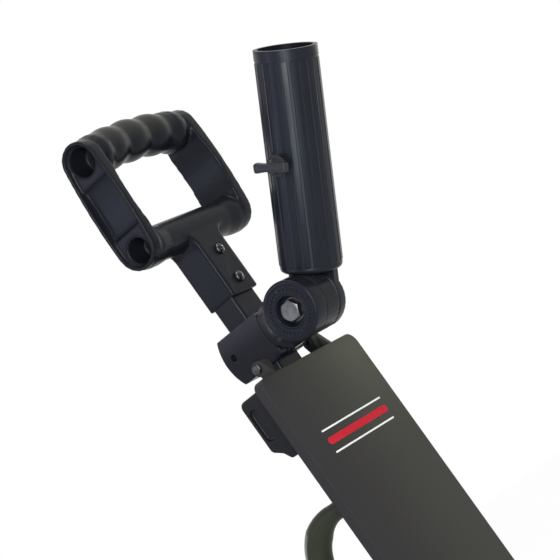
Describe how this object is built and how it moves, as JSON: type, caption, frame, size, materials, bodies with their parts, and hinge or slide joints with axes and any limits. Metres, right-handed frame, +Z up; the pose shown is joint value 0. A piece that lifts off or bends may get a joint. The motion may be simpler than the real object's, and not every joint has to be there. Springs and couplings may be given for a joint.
{
  "type": "golf trolley handle head",
  "caption": "Black golf trolley handle head: D-shaped finger grip on a rectangular shaft, clamped tilting umbrella holder with a thumb screw, and a scorecard tray with a hinged lid.",
  "frame": {"origin": "centre of the shaft's lower end face", "axes": "+Z up along the shaft towards the grip, -Y the way the lid faces, +X towards the umbrella holder's side"},
  "size_m": [0.124, 0.2325, 0.4608],
  "materials": {
    "satin_paint": "satin black paint",
    "moulded_black": "fine moulded grain",
    "charcoal": "fine matt grain",
    "gloss_black": "semi-gloss",
    "zinc": "bright zinc plate",
    "black_steel": "black plated steel",
    "brass": "turned brass",
    "fibre": "pressed fibre"
  },
  "bodies": {
    "frame": {"shaft_tube": "satin_paint", "shaft_end_plug": "moulded_black", "d_handle": "moulded_black", "handle_screw_1": "black_steel", "handle_screw_2": "black_steel", "clamp_body": "moulded_black", "clamp_screw": "black_steel", "front_disc": "moulded_black", "bolt_washer": "zinc", "pivot_bolt": "zinc", "friction_washer": "fibre", "nut_washer": "zinc", "pivot_nut": "zinc", "shaft_saddle": "moulded_black", "console_tray": "charcoal", "tray_screw_1": "black_steel", "tray_screw_2": "black_steel", "tray_screw_3": "black_steel", "tray_screw_4": "black_steel", "hinge_pin_left": "black_steel", "hinge_pin_right": "black_steel", "strut_elbow": "moulded_black", "strut_screw_1": "black_steel", "strut_screw_2": "black_steel"},
    "umbrella": {"umbrella_holder": "gloss_black", "thread_insert": "brass"},
    "pad": {"pressure_pad": "moulded_black"},
    "screw": {"thumb_screw": "gloss_black"},
    "lid": {"console_lid": "charcoal"}
  },
  "joints": [
    {"name": "umbrella_tilt", "type": "hinge", "parent": "frame", "child": "umbrella", "pos_m": [0, -0.0443, 0.2857], "axis": [1, 0, 0], "range_deg": [-30, 60]},
    {"name": "thumb_screw_feed", "type": "slide", "parent": "umbrella", "child": "pad", "axis": [1, 0, 0], "range_m": [0, 0.0045]},
    {"name": "thumb_screw_turn", "type": "hinge", "parent": "pad", "child": "screw", "pos_m": [0.01305, -0.09646, 0.3639], "axis": [1, 0, 0], "range_deg": [0, 1080]},
    {"name": "lid_hinge", "type": "hinge", "parent": "frame", "child": "lid", "pos_m": [0, -0.0099, 0.2676], "axis": [-1, 0, 0], "range_deg": [0, 30]}
  ],
  "couplings": [
    {"joint": "thumb_screw_feed", "follows": "thumb_screw_turn", "m_per_rad": 0.00023873}
  ]
}
